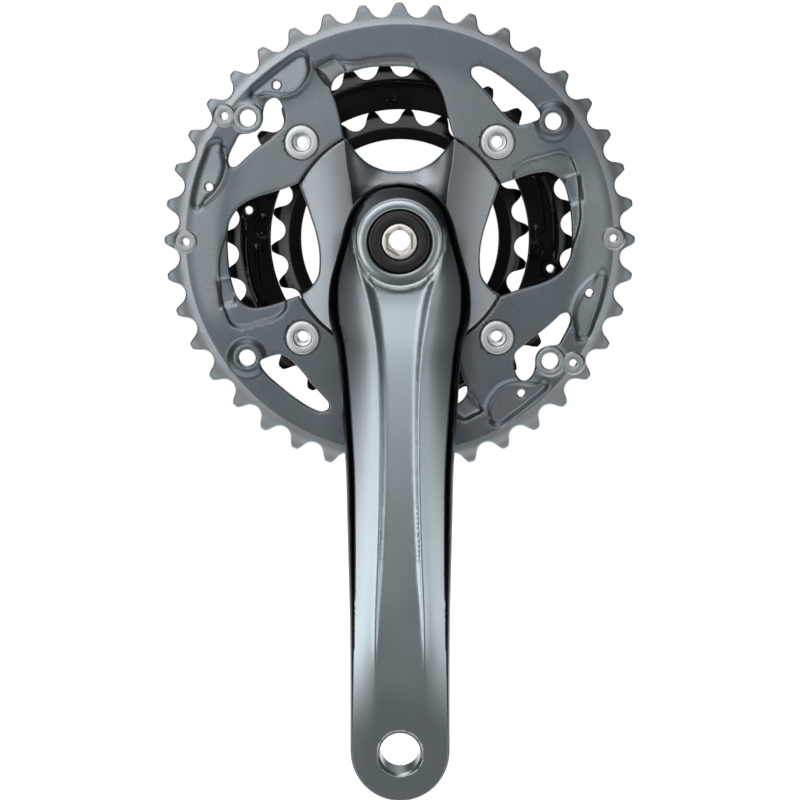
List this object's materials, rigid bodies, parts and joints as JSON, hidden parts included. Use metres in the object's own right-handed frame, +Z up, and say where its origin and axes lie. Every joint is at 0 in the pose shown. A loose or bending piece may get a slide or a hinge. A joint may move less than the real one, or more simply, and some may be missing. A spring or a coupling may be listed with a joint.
{
  "type": "bicycle crankset",
  "caption": "Drive-side triple bicycle crank: forged arm with integral spider, toothed chainrings, sleeve-nut fasteners, shift pins and a captive self-extracting crank bolt.",
  "frame": {"origin": "on the spindle axis, at the inboard end of the crank's hub, where it seats against the bottom bracket's side", "axes": "+Y inboard along the spindle axis, towards the bicycle's frame; +Z up, away from the pedal, with the arm hanging down; +X to the right seen from outboard"},
  "size_m": [0.164, 0.0515, 0.2743],
  "materials": {
    "forged_aluminium": "satin anodised, silver grey",
    "anodised_ring": "matt bead-blasted and anodised, mid grey",
    "black_steel": "black electrocoated steel",
    "black_resin": "semi-matt black",
    "bright_steel": "zinc-plated, satin"
  },
  "bodies": {
    "crank": {"bolt_washer": "black_steel", "chain_drop_pin": "bright_steel", "chainring_bolt_1": "bright_steel", "chainring_bolt_2": "bright_steel", "chainring_bolt_3": "bright_steel", "chainring_bolt_4": "bright_steel", "chainring_nut_1": "bright_steel", "chainring_nut_2": "bright_steel", "chainring_nut_3": "bright_steel", "chainring_nut_4": "bright_steel", "crank_arm": "forged_aluminium", "extractor_cap": "black_resin", "inner_chainring": "black_steel", "inner_ring_bolt_1": "bright_steel", "inner_ring_bolt_2": "bright_steel", "inner_ring_bolt_3": "bright_steel", "inner_ring_bolt_4": "bright_steel", "middle_chainring": "black_steel", "middle_shift_pin_1": "bright_steel", "middle_shift_pin_2": "bright_steel", "outer_chainring": "anodised_ring", "outer_shift_pin_1": "bright_steel", "outer_shift_pin_2": "bright_steel", "outer_shift_pin_3": "bright_steel", "outer_shift_pin_4": "bright_steel", "outer_shift_pin_5": "bright_steel", "outer_shift_pin_6": "bright_steel", "outer_shift_pin_7": "bright_steel", "outer_shift_pin_8": "bright_steel"},
    "bolt": {"crank_bolt": "bright_steel"}
  },
  "joints": [
    {"name": "crank_bolt_turn", "type": "hinge", "parent": "crank", "child": "bolt", "pos_m": [0, -0.03, 0], "axis": [0, -1, 0], "continuous": true}
  ]
}
